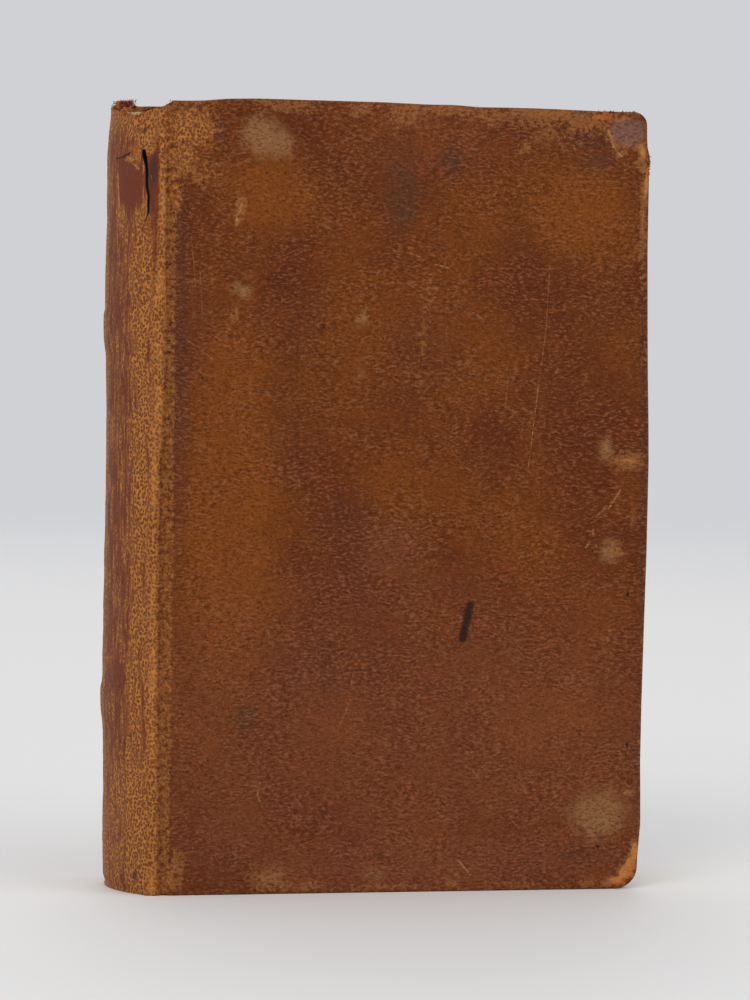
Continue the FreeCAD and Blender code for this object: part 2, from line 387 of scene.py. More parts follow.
# one piece of the binding leather, turned in over the edges of its cover
def skinPiece(name, side, radii):
    whole = side == "front"
    plan = wholeLine if whole else coverLine
    columns = spaced(*(wholeColumns if whole else coverColumns))
    nx, nz = len(columns) - 1, len(rowPlaces) - 1
    obj, col, row = gridAdd(name, nx, nz)
    s, z = columns[col].copy(), rowPlaces[row].copy()
    s, z = roundCorner(s, z, radii[0], True)
    s, z = roundCorner(s, z, radii[1], False)
    along = columns[col]
    if whole:
        torn = (along > tornFrom) & (along < tornTo)
        jag = np.array([0.28 * noise.noise(Vector((v * 1.7, 4.0, 0))) for v in columns])
        jag += np.array([0.16 * noise.noise(Vector((v * 4.1, 8.0, 0))) for v in columns])
        drop = (high - tornTop(along) - jag[col]) * torn
        rearCap = smooth(rearShoulder + 1, rearShoulder + 4, along)
        drop = drop + 0.7 * rearCap * (along <= tornFrom)
        z = z - drop * smooth(164, high, z)
        slit = int(np.argmin(np.abs(columns - crackAt(158.0)[0] + 0.33)))
        crackPlace, width = crackAt(z)
        nearCrack = window(crackLow - 9, crackLow, crackHigh, crackHigh + 6, z)
        middle = (columns[slit] + columns[slit + 1]) / 2
        shift = (crackPlace - middle) * nearCrack
        s = s + shift * bell(along - middle, 4.5)
        inSlit = (z > crackLow - 0.5) & (z < crackHigh + 0.5)
        for step, sign in ((slit, -1), (slit + 1, 1)):
            chosen = (col == step) & inSlit
            s[chosen] = (crackPlace + sign * width / 2)[chosen]
    # boundary numbering: tail row, fore-edge column, head row
    edgeId = np.full(len(s), -1)
    tail, fore, head = row == 0, col == nx, row == nz
    edgeId[tail] = col[tail]
    edgeId[fore] = nx + row[fore]
    edgeId[head] = nx + nz + (nx - col[head])
    count = 2 * nx + nz + 1
    lift = lifted(s, z, side)
    edgeS, edgeZ, edgeAlong, edgeLift, ds, dz, arc = np.zeros((7, count))
    used = edgeId >= 0
    for onEdge, values in ((edgeS, s), (edgeZ, z), (edgeAlong, along), (edgeLift, lift)):
        onEdge[edgeId[used]] = values[used]
    ids = np.arange(count)
    dz[ids < nx], dz[ids > nx + nz] = -1, 1
    ds[(ids >= nx) & (ids <= nx + nz)] = 1
    reachIn = np.full(count, 99.0)
    for radius, top in ((radii[0], True), (radii[1], False)):
        inner = radius - edgeInset
        centreS = foreEnd - inner
        centreZ = high - inner if top else low + inner
        corner = (edgeS > centreS - 1e-6) & (
            (edgeZ > centreZ - 1e-6) if top else (edgeZ < centreZ + 1e-6)
        )
        awayS, awayZ = edgeS - centreS, edgeZ - centreZ
        size = np.maximum(np.hypot(awayS, awayZ), 1e-6)
        ds[corner], dz[corner] = (awayS / size)[corner], (awayZ / size)[corner]
        sharpZ = book["height"] if top else 0.0
        fromCorner = np.maximum(np.abs(book["reach"] - edgeS), np.abs(sharpZ - edgeZ))
        reachIn = np.minimum(reachIn, np.where(corner, 0.9 * radius, 0.97 * fromCorner))
    reachIn = np.minimum(reachIn, boardRings[-1][1])
    coverShare = smooth(-1.5, turnInFrom, edgeS)
    tornIds = np.zeros(count, bool)
    if whole:
        tornIds = (ids > nx + nz) & (edgeAlong > tornFrom) & (edgeAlong < tornTo)
    writeVerts(obj, placed(plan, s, z, np.zeros(len(s)), lift, side))
    writeNumbers(obj, "edgeId", edgeId, "INT")
    for key, values in (("placeS", s), ("placeZ", z), ("ringNumber", np.zeros(len(s)))):
        writeNumbers(obj, key, values)
    if whole:  # the crack: the faces between its two sides go
        poly = np.array([list(p.vertices) for p in obj.data.polygons])
        inside = (
            (col[poly].min(1) == slit)
            & (col[poly].max(1) == slit + 1)
            & (z[poly].min(1) > crackLow - 0.2)
            & (z[poly].max(1) < crackHigh + 0.4)
        )
        clearFaces(obj, inside)
    picking("edges")
    previous = (0.0, edgeInset)
    for ring in range(1, len(boardRings)):
        pairs = edgePairs(obj)
        vertId = readNumbers(obj, "edgeId").astype(int)
        ringNow = readNumbers(obj, "ringNumber")
        a, b = vertId[pairs[:, 0]], vertId[pairs[:, 1]]
        chosen = (a >= 0) & (b >= 0) & (np.abs(a - b) == 1)
        chosen &= (ringNow[pairs[:, 0]] == ring - 1) & (ringNow[pairs[:, 1]] == ring - 1)
        chosen &= ~(tornIds[a] | tornIds[b])
        if ring >= len(capRings):
            chosen &= (edgeS[a] >= turnInFrom - 0.01) & (edgeS[b] >= turnInFrom - 0.01)
        selectOnly(obj, "edges", chosen)
        mode("EDIT")
        bpy.ops.mesh.extrude_region_move()
        mode("OBJECT")
        picked = np.empty(len(obj.data.vertices), bool)
        obj.data.vertices.foreach_get("select", picked)
        vertId = readNumbers(obj, "edgeId").astype(int)
        e = vertId[picked]
        cap = capRings[min(ring, len(capRings) - 1)]
        share = coverShare[e]
        depth = share * boardRings[ring][0] + (1 - share) * cap[0]
        boardInset, folded = boardRings[ring][1], boardRings[foldRing][1]
        if ring > foldRing:  # the turn-ins meet in mitres at the corners
            boardInset = folded + (boardInset - folded) * (
                (reachIn[e] - folded) / (boardRings[-1][1] - folded)
            )
        inset = share * boardInset + (1 - share) * cap[1]
        out = edgeInset - inset
        s2, z2 = edgeS[e] + ds[e] * out, edgeZ[e] + dz[e] * out
        fade = max(0.0, 1 - ring / 4)
        co = readVerts(obj)
        co[picked] = placed(plan, s2, z2, depth, edgeLift[e] * fade, side)
        writeVerts(obj, co)
        arc += math.dist(boardRings[ring], previous)
        previous = boardRings[ring]
        flatS, flatZ = edgeS[e] + ds[e] * arc[e], edgeZ[e] + dz[e] * arc[e]
        for key, values in (("placeS", flatS), ("placeZ", flatZ), ("ringNumber", ring)):
            kept = readNumbers(obj, key)
            kept[picked] = values
            writeNumbers(obj, key, kept)
    picking("vertices")
    return obj


def clearFaces(obj, chosen):
    activate(obj)
    picking("faces")
    selectOnly(obj, "polygons", chosen)
    mode("EDIT")
    bpy.ops.mesh.delete(type="ONLY_FACE")
    bpy.ops.mesh.select_all(action="SELECT")
    bpy.ops.mesh.delete_loose(use_verts=True, use_edges=True, use_faces=False)
    mode("OBJECT")
    picking("vertices")


# Where the skin is worn, stained and torn, with painted shade along the fore-edge: s, z, half
# width, half height, strength
def spot(turn, z, width, height, strength):  # a place on the round back
    return (backPlace(turn), z, width, height, strength)


marks = {
    "worn": (
        (16.5, 156.2, 1.2, 2.2, 1), (15.5, 153.6, 0.9, 2, 0.9),
        (15.3, 131.5, 1.2, 2.6, 0.6), (43.9, 178.3, 3.4, 1.6, 0.75),
        (53.9, 177.7, 4, 3, 0.78), (65.5, 179, 8, 1.6, 0.85),
        (75.4, 178, 5, 2.2, 0.7), (87.3, 178.8, 11, 1.9, 0.95),
        (85.3, 176.3, 7, 1.6, 0.6), (82.8, 170.8, 1.2, 1.7, 0.8),
        (87.8, 174.2, 3.4, 2.4, 0.6), (96.7, 177.6, 6, 2.8, 0.8),
        (26.8, 178.7, 8, 1.8, 0.7), (4.6, 173.8, 6, 5, 0.84), (2.6, 166.4, 4, 4.5, 0.7),
        (8.4, 163.4, 4, 3.5, 0.5), (1.2, 158, 1.6, 8, 0.6), (107.6, 99.2, 3.9, 1.9, 1.05),
        (105.6, 78.4, 1.6, 2.5, 0.85), (103.8, 58.9, 1.2, 2.4, 0.5), (3.3, 7.3, 1.8, 3.4, 0.8),
        (2.1, 3.2, 3, 2.4, 0.8), (25.4, 2.3, 4.8, 2.2, 0.72), (34.3, 1.7, 3.6, 1.4, 0.7),
        (51.9, 1.3, 9, 0.9, 0.6), (68.5, 2.4, 1.6, 2, 0.7), (83.9, 1.1, 5, 0.8, 0.6),
        (100.6, 1.2, 2, 1.3, 0.8), (111.6, 9, 1, 2.3, 1.5), (110.9, 6.2, 1.4, 1.8, 1.5),
        (109.6, 3.9, 1.8, 1.6, 1.5), (107.5, 2.1, 2.3, 1, 1.4),
        (105.1, 1.2, 1.4, 0.6, 1.2), (105.4, 170.1, 1.6, 1.2, 0.85),
        (110.2, 168.7, 0.9, 1.1, 0.95), (111.1, 166.6, 1, 1.8, 1),
        (109.2, 167.7, 0.9, 0.8, 0.8), (111.8, 162.7, 0.7, 3.4, 1.3),
        (103, 174.2, 0.7, 1.6, 0.8), (104.1, 171.9, 0.8, 1.6, 0.95),
        (111.2, 156, 0.7, 12.5, 1), (110.9, 170.8, 1.3, 3, 1.15),
        (107.1, 171.8, 2, 1.1, 0.62), (109.8, 146.8, 1.6, 1.6, 0.5),
        (60.1, 135.8, 0.8, 5.5, 0.78), (58.8, 127.1, 0.7, 4.1, 0.72),
        (61.2, 139.4, 1.4, 2.2, 0.6), (92.3, 172.7, 4.5, 3.5, 0.4),
        spot(32.6, 171.4, 1.5, 2.2, 1.3), spot(34, 168.6, 1.6, 1.2, 1.1),
        spot(37.5, 175, 2.4, 4.4, 0.85), spot(29, 174.6, 3, 1.8, 0.8),
        spot(7, 176.8, 3.4, 1.4, 1), spot(17, 175.2, 3.6, 1, 0.9),
        spot(24, 166.9, 3, 0.5, 0.8), spot(12, 158, 0.9, 7, 0.8),
        spot(16, 152.6, 2.2, 4, 0.7), spot(30, 20, 5, 9, 0.62),
        spot(24, 8, 6, 6, 0.6),
    ),
    "pale": (
        (102.8, 102, 1.2, 2.5, 1.1), (103.8, 78.2, 1.7, 2.4, 0.95),
        (109.2, 85.8, 1.6, 0.8, 0.6), (21, 172, 3.9, 3.7, 1.05),
        (25.2, 170.6, 3.4, 2.9, 0.9), (17.3, 136.9, 1.5, 1.1, 1.2),
        (15.3, 138.1, 1.2, 0.9, 0.8), (45.1, 131.5, 1, 1.6, 1),
        (44.9, 119, 0.9, 0.9, 1), (102.8, 17.6, 5.6, 5, 0.95),
        (100.7, 13.7, 2.2, 2, 0.5), (24.9, 4.5, 3.6, 1.8, 0.6), (49.9, 4.2, 2.4, 1.6, 0.5),
        (109.5, 22.4, 1.2, 0.7, 0.9),
    ),
    "stain": (
        (53.9, 159.5, 4, 8.4, 0.85), (65.9, 167, 3.2, 4.6, 0.66),
        (18.8, 40, 3, 4, 0.7), (97.6, 20.8, 2.4, 3, 0.5), (94.4, 17.7, 2.4, 2.6, 0.4),
        (0.9, 27.6, 2, 3.6, 0.7), (98.2, 167.5, 3.4, 2.4, 0.5), (37.3, 48.9, 2.6, 2.6, 0.45),
    ),
    "purple": (
        (107.5, 175.3, 4.3, 3, 1.2),
    ),
    "duskAndEdgeShade": (
        (2.8, 122.2, 2.6, 42, 0.75), (6.5, 128.2, 5, 12, 0.4),
        (97.7, 172.9, 3.2, 3.2, 0.85), (101.1, 168.3, 5, 2, 0.6),
        (40.8, 85.4, 10, 7, 0.4), (59.6, 124.1, 9, 12, 0.35),
        (34.9, 50.6, 10, 9, 0.45), (97.9, 8.2, 5, 3, 0.6),
        # these two strips along the fore-edge are painted shade where the cover's edge rounds
        # over
        (111.6, 120, 1.1, 60, 0.8), (112, 40.5, 1, 28, 0.7),
        (105.7, 7.1, 5, 4, 0.4), (28.8, 100.3, 6, 8, 0.35),
        (28.8, 132.1, 9, 9, 0.3), (69.7, 70.4, 4, 4, 0.3), (11.4, 173.3, 1.5, 3, 0.8),
    ),
    "warm": (
        (13.9, 88.5, 11, 42, 1), (23.8, 159.9, 10, 9, 0.9),
        (96.3, 156.8, 13, 11, 0.9), (53.7, 92.3, 9, 12, 0.55),
        (78.6, 86.3, 12, 12, 0.4), (87.8, 36.6, 14, 12, 0.5),
        (41.7, 122.2, 9, 20, 0.45), (73.6, 122.1, 9, 12, 0.45),
        (69.5, 151.9, 14, 10, 0.35),
    ),
    "rosy": (
        (55.9, 32.7, 90, 34, 0.7), (49.8, 66.5, 30, 10, 0.5),
        (51.8, 78.4, 8, 7, 0.8), (15.9, 12.9, 12, 9, 0.9), (62, 7, 48, 7, 1.1),
        (49.9, 17.8, 14, 9, 0.8), (99.7, 34.6, 12, 20, 0.4),
        (59.5, 171.8, 20, 8, 0.35),
    ),
    "raw": (
        (101.3, 178.8, 2.7, 0.9, 0.75), (106.2, 178.4, 2.5, 0.8, 0.65),
        (111, 4.3, 1.1, 2, 0.8), (108.3, 1.7, 2.4, 0.8, 0.7), (112.3, 166.2, 0.6, 1.8, 0.9),
        spot(26.5, 168.7, 1.5, 1.4, 0.95), spot(31, 175.4, 2.4, 1.6, 0.55),
        spot(20, 176.4, 4, 0.7, 0.85), spot(8, 177.6, 3.4, 0.8, 0.9),
        spot(27.6, 165.4, 0.9, 1.2, 0.7),
    ),
    "dark": (
        spot(31.5, 173.2, 0.6, 0.7, 1.3), spot(36.6, 164, 1.3, 4.2, 0.85),
        spot(35.6, 157, 1.2, 6, 0.5), spot(29.8, 4.2, 1, 1, 1),
    ),
    "calm": (spot(21.5, 161.2, 5.6, 5.4, 1.5), spot(36.6, 161, 1.3, 6, 1.2)),
    "net": (
        (5, 171.9, 8, 8, 1), (3, 160, 4, 9, 0.8), (1, 30.8, 1.6, 120, 0.6),
        (104.5, 176.6, 9, 3, 0.4),
    ),
}


def markValue(name, s, z):
    value = np.zeros(len(s))
    for s0, z0, width, height, strength in marks[name]:
        away = ((s - s0) / width) ** 2 + ((z - z0) / height) ** 2
        value = np.maximum(value, strength * np.exp(-0.7 * away**1.5))
    return value


ridge = (  # height, distance from the seam line, half width
    (0, -1.2, 1.3), (20, -1.3, 1.2), (43, -1.6, 1.2), (60, -1.65, 1.1), (100, -1.5, 1.1),
    (112, -0.7, 1.2), (125, -1, 1.5), (132, -1.2, 2), (138, -0.6, 1.3), (150, -0.35, 0.8),
    (168, -0.3, 0.8), (180, -0.3, 1.2),
)


# writes where the skin lies flat, how worn and stained it is there, and the painted shade along
# the crack
def markSkin(obj, side):
    s, z = readNumbers(obj, "placeS"), readNumbers(obj, "placeZ")
    offset = 0.0 if side == "front" else 400.0
    writeNumbers(
        obj, "skinPlace", np.stack([s, z, np.full(len(s), offset)], 1), "FLOAT_VECTOR"
    )
    onBack = 1 - smooth(shoulderPlace - 0.4, shoulderPlace + 2.4, s)
    heights, middles, widths = zip(*ridge)
    middle, width = np.interp(z, heights, middles), np.interp(z, heights, widths)
    band = bell(s - seamPlace - middle, 1.25 * width, 4)
    rearBand = bell(s - rearSeam + middle, width, 4)
    turn = back["turn"] - np.degrees((shoulderPlace - s) / back["radius"])
    low, top = 1 - smooth(22, 34, z), smooth(169, 176, z)
    base = 0.32 + 0.5 * (1 - smooth(-3, 4, turn)) + 0.26 * smooth(21, 28, turn)
    base = np.where(turn < -14, 0.42, base) + 0.2 * low + 0.16 * top
    base += 0.4 * bell(turn + 9.5, 2.6)
    streak = bell(turn - 32, 2.2) * smooth(66, 80, z)
    base += 0.25 * streak * (1 - smooth(122, 130, z))
    places = np.stack([s, z], 1)
    drift = wander(places, 0.11, 31.0) + 0.6 * wander(places, 0.3, 33.0)
    furrow = bell(s - seamPlace + 3.7 + 0.5 * drift, 0.55)
    base -= 0.34 * furrow * smooth(-0.25, 0.35, wander(places, 0.09, 37.0))
    base += 0.14 * drift
    fade = 1 - 0.3 * smooth(160, 168, z)
    worn = np.maximum((1.1 + 0.3 * drift) * band * fade, rearBand)
    worn = np.maximum(worn, onBack * base)
    inGroove = window(seamPlace - 0.5, seamPlace + 0.6, 1.2, 2.2, s)
    worn = np.maximum(worn, 0.55 * inGroove)
    rim = np.minimum(
        np.minimum(z, book["height"] - z), np.where(s > 60, book["reach"] - s, 99)
    )
    onCover = smooth(0.5, 3, s)
    edge = 0.5 * bell(np.maximum(rim, 0), 0.9) * onCover
    worn = np.maximum(worn, edge * (rim > -3))
    if side == "front":
        values = {name: markValue(name, s, z) for name in marks}
    else:
        turned, over = book["reach"] - s * 0.95, book["height"] - z
        values = {name: 0.8 * markValue(name, turned, over) * onCover for name in marks}
        for name in ("calm", "raw", "dark", "purple"):
            values[name] *= 0.0
    rougher = 1 - np.minimum(values["calm"], 1)
    values["worn"] = np.maximum(values["worn"], worn * rougher)
    for name, value in values.items():
        writeNumbers(obj, name, value)
    writeNumbers(obj, "pebble", onBack)
    writeNumbers(obj, "net", np.maximum(np.maximum(values["net"], onBack), band))
    # painted shade along the crack: a dark band on the leather on both sides of the slit
    crackShade = np.zeros(len(s))
    if side == "front":
        crackPlace, width = crackAt(z)
        away = np.maximum(np.abs(s - crackPlace) - width / 2, 0)
        ends = window(crackLow - 1, crackLow + 8, crackHigh, crackHigh + 0.8, z)
        crackShade = ends * bell(away, 0.22)
    writeNumbers(obj, "crackShade", crackShade)
    for name in ("placeS", "placeZ", "edgeId"):
        obj.data.attributes.remove(obj.data.attributes[name])


# Nodes
def feed(tree, value, socket):  # by a link, or with a plain value
    if isinstance(value, bpy.types.NodeSocket):
        tree.links.new(value, socket)
    else:
        socket.default_value = value


def add(tree, kind, inputs=None, **settings):
    made = tree.nodes.new(kind)
    for key, value in settings.items():
        setattr(made, key, value)
    for key, value in (inputs or {}).items():
        feed(tree, value, made.inputs[key])
    return made


def calc(tree, operation, *values, clamp=False):
    inputs = dict(enumerate(values))
    return add(tree, "ShaderNodeMath", inputs, operation=operation, use_clamp=clamp).outputs[0]


def times(tree, a, b):
    return calc(tree, "MULTIPLY", a, b)


def madd(tree, a, b, c):  # a * b + c
    return calc(tree, "MULTIPLY_ADD", a, b, c)


def vector(tree, operation, first, second=None, scale=None):
    inputs = {0: first, 1: second, "Scale": scale}
    inputs = {key: value for key, value in inputs.items() if value is not None}
    return add(tree, "ShaderNodeVectorMath", inputs, operation=operation).outputs


def ramped(tree, value, low, high, first=0.0, last=1.0):
    inputs = {"Value": value, 1: low, 2: high, 3: first, 4: last}
    made = add(tree, "ShaderNodeMapRange", inputs, interpolation_type="SMOOTHSTEP")
    return made.outputs[0]


def tinted(tree, base, colour, factor):
    inputs = {0: factor, 6: base, 7: colour}
    return add(tree, "ShaderNodeMix", inputs, data_type="RGBA").outputs[2]


# one colour over another, by how high a value is
def stained(tree, base, colour, value, low, high, amount=1.0):
    return tinted(tree, base, colour, ramped(tree, value, low, high, 0.0, amount))


def stretched(tree, place, scale):
    return vector(tree, "MULTIPLY", place, scale)[0]


def grain(tree, place, scale=1.0, detail=2.0, roughness=0.5):
    inputs = {"Vector": place, "Scale": scale, "Detail": detail, "Roughness": roughness}
    return add(tree, "ShaderNodeTexNoise", inputs, noise_dimensions="3D").outputs


def newGroup(name, given, made):
    tree = bpy.data.node_groups.new(name, "ShaderNodeTree")
    for way, keys in (("INPUT", given), ("OUTPUT", made)):
        for key in keys:
            kind = "Vector" if key in ("Place", "From", "To") else "Float"
            tree.interface.new_socket(key, in_out=way, socket_type="NodeSocket" + kind)
    start, end = tree.nodes.new("NodeGroupInput"), tree.nodes.new("NodeGroupOutput")
    return tree, start.outputs, end.inputs


def useGroup(tree, group, inputs):
    return add(tree, "ShaderNodeGroup", inputs, node_tree=group)


def scratchGroup():
    inputs = ("Place", "Marks", "From", "To", "Width", "Strength")
    tree, given, end = newGroup("scratchLine", inputs, ("Marks",))
    away = vector(tree, "SUBTRACT", given["Place"], given["From"])[0]
    along = vector(tree, "SUBTRACT", given["To"], given["From"])[0]
    size = vector(tree, "DOT_PRODUCT", along, along)["Value"]
    share = vector(tree, "DOT_PRODUCT", away, along)["Value"]
    share = calc(tree, "DIVIDE", share, size, clamp=True)
    foot = vector(tree, "SCALE", along, scale=share)[0]
    gap = vector(tree, "DISTANCE", away, foot)["Value"]
    mark = ramped(tree, calc(tree, "DIVIDE", gap, given["Width"]), 1.0, 0.3)
    mark = times(tree, mark, given["Strength"])
    tree.links.new(calc(tree, "MAXIMUM", mark, given["Marks"]), end["Marks"])
    return tree


scratchLine = scratchGroup()


def brokenGroup():  # a soft mark broken up by the grain
    tree, given, end = newGroup("brokenMark", ("Mark", "Grain", "Break", "Soft"), ("Mark",))
    shifted = times(tree, calc(tree, "SUBTRACT", given["Grain"], 0.5), given["Break"])
    value = calc(tree, "ADD", given["Mark"], shifted)
    top = calc(tree, "ADD", 0.5, given["Soft"])
    bottom = calc(tree, "SUBTRACT", 0.5, given["Soft"])
    present = ramped(tree, given["Mark"], 0.02, 0.2)
    tree.links.new(times(tree, ramped(tree, value, bottom, top), present), end["Mark"])
    return tree


brokenMark = brokenGroup()


skinValues = (
    "Cloud", "Warmth", "Creases", "Crests", "Pores", "Flecks",
    "Fine", "Pits", "Streaks", "Strands", "Height",
)


def skinGrainGroup():
    tree, given, end = newGroup("skinGrain", ("Place",), skinValues)
    bend = grain(tree, given["Place"], 0.13, 2.0)["Color"]
    bend = vector(tree, "SUBTRACT", bend, (0.5, 0.5, 0.5))[0]
    bend = vector(tree, "SCALE", bend, scale=2.6)[0]
    bent = vector(tree, "ADD", given["Place"], bend)[0]

    def field(scale, size=1.0, detail=2.0, roughness=0.55):
        return grain(tree, stretched(tree, bent, scale), size, detail, roughness)[0]

    cloud = times(tree, field((0.9, 0.8, 1), 0.028, 3.0), 0.6)
    cloud = madd(tree, field((1, 1.4, 1), 0.11, 3.0, 0.6), 0.4, cloud)
    cloud = ramped(tree, cloud, 0.34, 0.64)
    warmth = ramped(tree, field((1.1, 0.7, 1.3), 0.05, 3.0, 0.6), 0.42, 0.62)
    wave = field((0.85, 1.85, 1), 1.0, 2.2, 0.6)
    strong = ramped(tree, field((0.7, 1, 1), 0.09), 0.36, 0.58, 0.45)
    # creases take painted shade and crests a painted highlight in the leather material
    creases = times(tree, ramped(tree, wave, 0.47, 0.37), strong)
    crests = times(tree, ramped(tree, wave, 0.52, 0.64), strong)
    fine = field((1.5, 2.3, 1), 1.0, 2.5, 0.6)
    flecks = ramped(tree, field((1.3, 1.7, 1), 1.0, 3.0, 0.75), 0.6, 0.72)

    def cells(scale, randomness):
        inputs = {"Vector": stretched(tree, bent, scale), "Scale": 1.0}
        inputs["Randomness"] = randomness
        settings = {"voronoi_dimensions": "2D", "feature": "F1"}
        return add(tree, "ShaderNodeTexVoronoi", inputs, **settings).outputs["Distance"]

    pores = ramped(tree, cells((0.95, 1.05, 1), 1.0), 0.3, 0.1)
    pores = times(tree, pores, ramped(tree, field((1, 1, 1), 0.5), 0.42, 0.62))
    dotSize = madd(tree, field((1, 1, 1), 0.8), 0.4, 0.2)
    pits = calc(tree, "SUBTRACT", cells((1.5, 1.12, 1), 0.85), dotSize)
    pits = ramped(tree, pits, 0.06, -0.08)
    streaks = field((0.95, 0.11, 1))
    strands = ramped(tree, field((2.4, 0.17, 1), 1.0, 3.0), 0.5, 0.64)
    height = madd(tree, wave, 2.6, fine)
    height = calc(tree, "SUBTRACT", height, times(tree, pits, 0.35))
    values = (cloud, warmth, creases, crests, pores, flecks)
    values += (fine, pits, streaks, strands, height)
    for key, value in zip(skinValues, values):
        tree.links.new(value, end[key])
    return tree


skinGrain = skinGrainGroup()


def newMaterial(name):
    made = bpy.data.materials.new(name)
    made.use_nodes = True
    return made, made.node_tree


def finished(made, colour, roughness, specular, bump=None):
    tree, inputs = made.node_tree, made.node_tree.nodes["Principled BSDF"].inputs
    feed(tree, colour, inputs["Base Color"])
    feed(tree, roughness, inputs["Roughness"])
    inputs["Specular IOR Level"].default_value = specular
    if bump:
        values = dict(zip(("Height", "Strength", "Distance"), bump))
        tree.links.new(add(tree, "ShaderNodeBump", values).outputs[0], inputs["Normal"])
    return made


def inMillimetres(tree):  # places on the object
    place = add(tree, "ShaderNodeTexCoord").outputs["Object"]
    return stretched(tree, place, (1000, 1000, 1000))


def parted(tree, place):  # x, and the height's distance from the middle
    parts = add(tree, "ShaderNodeSeparateXYZ", {0: place}).outputs
    away = calc(tree, "SUBTRACT", parts[2], book["height"] / 2)
    return parts[0], calc(tree, "ABSOLUTE", away)


# a sheet's rim at head, tail and fore-edge, in patches
def rimOf(tree, place, ends, fore, patches):
    x, fromMiddle = parted(tree, place)
    rim = calc(tree, "MAXIMUM", ramped(tree, x, *fore), ramped(tree, fromMiddle, *ends))
    return times(tree, rim, patches)


def attribute(tree, name, output="Fac"):
    made = add(tree, "ShaderNodeAttribute", attribute_name=name, attribute_type="GEOMETRY")
    return made.outputs[output]


def skinPlaces(tree):  # where the leather or paper lies when flat, in mm
    return attribute(tree, "skinPlace", "Vector")


# Light scratches, dark marks, and splits painted dark as shade: from, to, half width, strength
lightScratches = (
    ((89.1, 144.2), (88.4, 129), 0.17, 0.35), ((88.4, 129), (87.1, 118.4), 0.17, 0.35),
    ((87.1, 118.4), (85.9, 108.3), 0.18, 0.5), ((85.9, 108.3), (85.2, 101.2), 0.2, 0.65),
    ((85.2, 101.2), (84.6, 96.8), 0.2, 0.5), ((79.7, 119.3), (79, 111.1), 0.3, 0.25),
    ((51.6, 147.4), (53.5, 146.1), 0.28, 0.6), ((56, 146.4), (58.3, 145.5), 0.26, 0.55),
    ((61.9, 143.9), (65.2, 143.1), 0.26, 0.6), ((102.7, 175.5), (103.8, 173.2), 0.36, 0.7),
    ((103.8, 173.2), (104.2, 170.9), 0.5, 0.8), ((104.2, 170.9), (105.7, 169.5), 0.4, 0.7),
    ((22.5, 25.5), (21.9, 22.8), 0.28, 0.5), ((21.9, 22.8), (23.2, 19.5), 0.28, 0.45),
    ((106.1, 92.6), (104.5, 89.7), 0.24, 0.6), ((104.4, 89.5), (103.7, 88.3), 0.32, 0.9),
    ((102.8, 88.3), (100.9, 86.3), 0.24, 0.5), ((100.3, 83), (100.5, 81.9), 0.42, 0.65),
    ((99.7, 80.7), (98.8, 79.3), 0.38, 0.65), ((101, 79.8), (101.2, 79.1), 0.3, 0.45),
    ((16.8, 157.6), (15.5, 153.2), 0.4, 0.7), ((5, 150), (6.2, 138.1), 0.18, 0.3),
    ((7.1, 142.1), (7.9, 131.2), 0.18, 0.3), ((4.2, 126.2), (10.4, 121.7), 0.16, 0.3),
    ((71, 133), (73.5, 131.5), 0.22, 0.45), ((108.4, 22.2), (109.7, 22.6), 0.3, 0.8),
    ((41.1, 38.7), (43.5, 44.4), 0.22, 0.45), ((43.6, 47.8), (44.2, 51), 0.22, 0.35),
    ((72.5, 3.8), (69.5, 7.2), 0.35, 0.6),
)
darkScratches = (
    ((71.4, 65.9), (70.7, 62.9), 1.5, 0.82), ((70.7, 62.9), (70.2, 60.1), 1.35, 0.8),
    ((70.2, 60.1), (69.7, 58.3), 1.45, 0.86), ((108.3, 68.7), (108.3, 68.1), 0.45, 0.9),
    ((109.2, 33.9), (109.1, 33.2), 0.45, 0.8), ((102.6, 10.1), (102.9, 9.7), 0.45, 0.8),
    ((35.8, 129.8), (36, 129.2), 0.42, 0.7), ((22.3, 164), (22.4, 164), 0.34, 0.8),
    ((26.6, 164.1), (26.7, 164.1), 0.32, 0.8), ((8, 117.5), (8, 117.4), 0.36, 0.9),
    ((33.8, 124.8), (35.2, 123), 0.2, 0.6),
)


def backLine(turn, z, turnTo, zTo, width, strength):  # a stroke on the round back
    return ((backPlace(turn), z), (backPlace(turnTo), zTo), width, strength)


# dark lines of painted shade in the splits of the round back
backSplitShades = (
    backLine(10.2, 167, 17.5, 167.3, 0.24, 0.9), backLine(17.5, 167.3, 22.6, 168.2, 0.3, 1),
    backLine(22.6, 167.4, 26, 166.9, 0.2, 0.6), backLine(9, 21, 17, 18.6, 0.16, 0.6),
    backLine(12, 19.6, 19, 17.4, 0.14, 0.5),
)
backTears = (  # pale edges where the skin of the back is torn
    backLine(19.5, 166.6, 24, 166, 0.3, 0.8), backLine(24, 166, 28.8, 164.6, 0.34, 0.9),
    backLine(33.4, 156.2, 32.8, 153.8, 0.22, 0.5), backLine(35.6, 163.2, 35.9, 162.2, 0.3, 0.5),
)
dyes = {
    "deep": (90, 40, 9), "brown": (107, 49, 9), "warm": (138, 73, 12), "rosy": (126, 70, 46),
    "crestHighlight": (148, 94, 64), "fleck": (158, 100, 62), "shade": (62, 27, 6),
    # the crest colour is a painted highlight on the grain's crests
    "plum": (118, 58, 38), "strand": (162, 100, 60), "ochre": (194, 124, 54),
    "tan": (160, 106, 64), "rubbed": (150, 96, 50), "pit": (98, 48, 22),
    "olive": (77, 50, 31), "pale": (146, 104, 64), "purple": (132, 98, 86),
    "duskAndEdgeShade": (82, 44, 32), "raw": (184, 98, 42), "slate": (72, 44, 33), "calm": (112, 56, 38),
    # the last colour serves the ink mark, and painted shade in the crack and the splits
    "mark": (176, 124, 80), "inkAndCrackShade": (24, 18, 14),
}
leather = {name: tone(*dye) for name, dye in dyes.items()}


def strokes(tree, place, lines):
    value = 0.0
    for a, b, width, strength in lines:
        inputs = {"Place": place, "Marks": value, "From": (*a, 0), "To": (*b, 0)}
        inputs.update({"Width": width, "Strength": strength})
        value = useGroup(tree, scratchLine, inputs).outputs[0]
    return value


